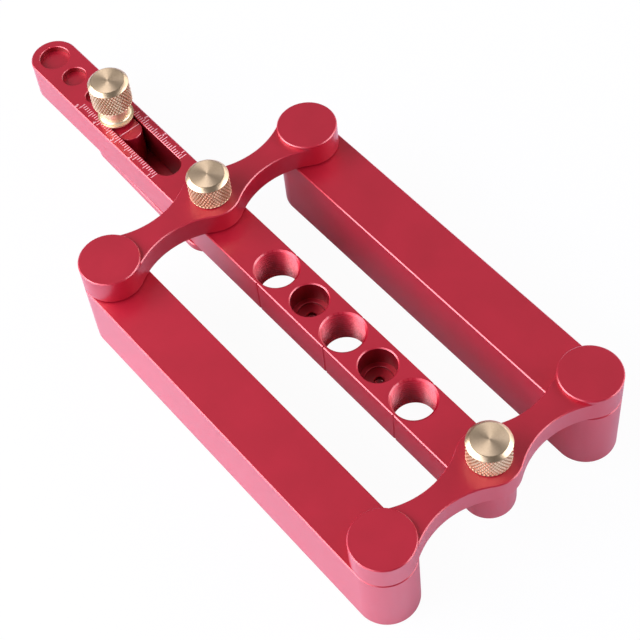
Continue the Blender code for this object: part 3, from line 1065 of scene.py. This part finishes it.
def socketCutter():
    # A hexagon, the drilled hole that it was broached from, and an eased mouth
    flat, depth, ease = screw["key"] / 2, screw["keyDepth"], screw["keyEase"]
    point = depth + screw["keyPoint"]
    key = screw["key"] / math.sqrt(3)
    hexagon = bmesh.new()
    bmesh.ops.create_cone(
        hexagon, cap_ends=True, segments=6, radius1=key, radius2=key, depth=depth + over
    )
    moved(hexagon, 0, 0, (depth - over) / 2)
    drilled = turned([(0, point), (flat, depth - 0.05), (flat, -over), (0, -over)], 36)
    mouth = turned([(0, ease)] + mouthBelow(key, ease), 36)
    return [hexagon, drilled, mouth]


def makeScrew(node, profile, at):
    piece = asObject(f"{node}_steel", turned(profile, 64))
    carve(piece, socketCutter())
    dress(piece, node, steelFinish, at)
    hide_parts(node)


def makeFlatScrew(node, x):
    low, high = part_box(node)
    length = (high.z - low.z) * 1000
    radius, tipEase = screw["radius"], screw["tipEase"]
    head, land, ease = screw["head"], screw["land"], screw["landEase"]
    profile = [(0, length), (radius - tipEase, length), (radius, length - tipEase)]
    profile += [(radius, land + head - radius), (head, land), (head, ease), (head - ease, 0), (0, 0)]
    makeScrew(node, profile, (x, 0, low.z))


def makeFenceScrew(node, x, y):
    low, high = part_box(node)
    length = (high.z - low.z) * 1000
    head, headHeight, lowEase, ease = screw["capHead"]
    thread, threadLength, tipEase = screw["thread"]
    shoulder = screw["radius"]
    shoulderTop = length - threadLength
    profile = [(0, length), (thread - tipEase, length), (thread, length - tipEase)]
    profile += [(thread, shoulderTop), (shoulder, shoulderTop), (shoulder, headHeight)]
    profile += [(head - lowEase, headHeight), (head, headHeight - lowEase)]
    profile += [(head, ease), (head - ease, 0), (0, 0)]
    makeScrew(node, profile, (x, y, low.z))


def makeWasher(node, x, y):
    low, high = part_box(node)
    top = (high.z - low.z) * 1000
    outer, inner = washer["outer"], washer["inner"]
    outerEase, innerEase = washer["outerEase"], washer["innerEase"]
    profile = [(outer - outerEase, top), (outer, top - outerEase), (outer, outerEase)]
    profile += [(outer - outerEase, 0), (inner + innerEase, 0), (inner, innerEase)]
    profile += [(inner, top - innerEase), (inner + innerEase, top)]
    piece = asObject(f"{node}_steel", turned(profile, 64, ring=True))
    dress(piece, node, steelFinish, (x, y, low.z))
    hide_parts(node)


makeFlatScrew("far_pivot_screw", farX)
makeFlatScrew("near_pivot_screw", nearX)
makeFlatScrew("clamp_screw", clampX)
for side in ("left", "right"):
    sideY = hingeAt[f"{side}_fence_pivot"][1]
    for end, endX in (("far", farX), ("near", nearX)):
        makeFenceScrew(f"{side}_{end}_fence_screw", endX, sideY)
        makeWasher(f"{side}_{end}_washer", endX, sideY)
print("screws and washers made")

# Floor, light and camera

studio = {
    "floorSize": 6.0,
    "floorGap": 0.00005,  # keeps the floor clear of the undersides that stand on it
    "floor": "E8E6FC",
    "ownLight": 0.96,  # share of the floor's white that the camera sees without shadow
    "sky": 0.12,
    "cameraAt": (0.26911, -0.15695, 0.43311),
    "cameraTurn": (34.2186, 4.26266, 50.27645),
    "lens": 94.315,
    "sensor": 36,
}

softboxes = {
    # name: (towards it from the jig, distance, width, height, watts, colour)
    "front_softbox": ((-0.1, -0.86, 0.48), 0.9, 1.3, 0.6, 6.4, "F0F2FF"),
    "left_softbox": ((-0.45, -0.7, 0.6), 0.9, 1.0, 0.8, 10.5, "FFFFFF"),
    "right_softbox": ((0.66, 0.58, 0.42), 1.0, 0.8, 0.55, 5.6, "F6F7FF"),
    "back_softbox": ((0.1, 0.9, 0.35), 0.9, 1.2, 0.5, 3.4, "FFFFFF"),
    "far_softbox": ((-0.524, 0.304, 0.795), 1.0, 1.3, 1.2, 0.5, "FFFFFF"),
}


def makeFloor():
    shape = bmesh.new()
    bmesh.ops.create_grid(shape, x_segments=1, y_segments=1, size=studio["floorSize"] / 2)
    floor = asObject("floor", moved(shape, 0, 0, -studio["floorGap"]))
    material, tree = newMaterial("paper_floor")
    paper = addNode(tree, "ShaderNodeBsdfDiffuse", {"Color": fromHex(studio["floor"])}).outputs["BSDF"]
    glow = addNode(tree, "ShaderNodeEmission", {"Color": fromHex("FFFFFF"), "Strength": 1.0}).outputs[0]
    seen = addNode(tree, "ShaderNodeLightPath").outputs["Is Camera Ray"]
    share = addNode(
        tree, "ShaderNodeMath", {"operation": "MULTIPLY", 1: studio["ownLight"]}, {0: seen}
    ).outputs[0]
    mixed = addNode(tree, "ShaderNodeMixShader", links={0: share, 1: paper, 2: glow}).outputs[0]
    addNode(tree, "ShaderNodeOutputMaterial", links={"Surface": mixed})
    floor.data.materials.append(material)


def makeSky():
    # A weak even light on the jig, and plain white where the camera sees past the floor
    world = bpy.data.worlds.new("studio_sky")
    bpy.context.scene.world = world
    world.use_nodes = True
    tree = world.node_tree
    tree.nodes.clear()
    white = fromHex("FFFFFF")
    sky = addNode(tree, "ShaderNodeBackground", {"Color": white, "Strength": studio["sky"]}).outputs[0]
    backdrop = addNode(tree, "ShaderNodeBackground", {"Color": white, "Strength": 1.0}).outputs[0]
    seen = addNode(tree, "ShaderNodeLightPath").outputs["Is Camera Ray"]
    mixed = addNode(tree, "ShaderNodeMixShader", links={0: seen, 1: sky, 2: backdrop}).outputs[0]
    addNode(tree, "ShaderNodeOutputWorld", links={"Surface": mixed})


def makeSoftboxes():
    for name, (direction, distance, width, height, watts, colour) in softboxes.items():
        lamp = bpy.data.lights.new(name, "AREA")
        lamp.shape = "RECTANGLE"
        lamp.size = width
        lamp.size_y = height
        lamp.energy = watts
        lamp.color = fromHex(colour)[:3]
        holder = bpy.data.objects.new(name, lamp)
        bpy.context.scene.collection.objects.link(holder)
        towards = Vector(direction).normalized()
        holder.location = towards * distance
        holder.rotation_euler = towards.to_track_quat("Z", "Y").to_euler()


def makeCamera():
    lensData = bpy.data.cameras.new("photo_camera")
    lensData.lens = studio["lens"]
    lensData.sensor_width = studio["sensor"]
    lensData.clip_start = 0.01
    camera = bpy.data.objects.new("photo_camera", lensData)
    camera.location = studio["cameraAt"]
    camera.rotation_euler = [math.radians(angle) for angle in studio["cameraTurn"]]
    bpy.context.scene.collection.objects.link(camera)
    bpy.context.scene.camera = camera


makeFloor()
makeSky()
makeSoftboxes()
makeCamera()
bpy.context.scene.view_settings.view_transform = "Standard"
print("studio made")

bpy.context.view_layer.update()
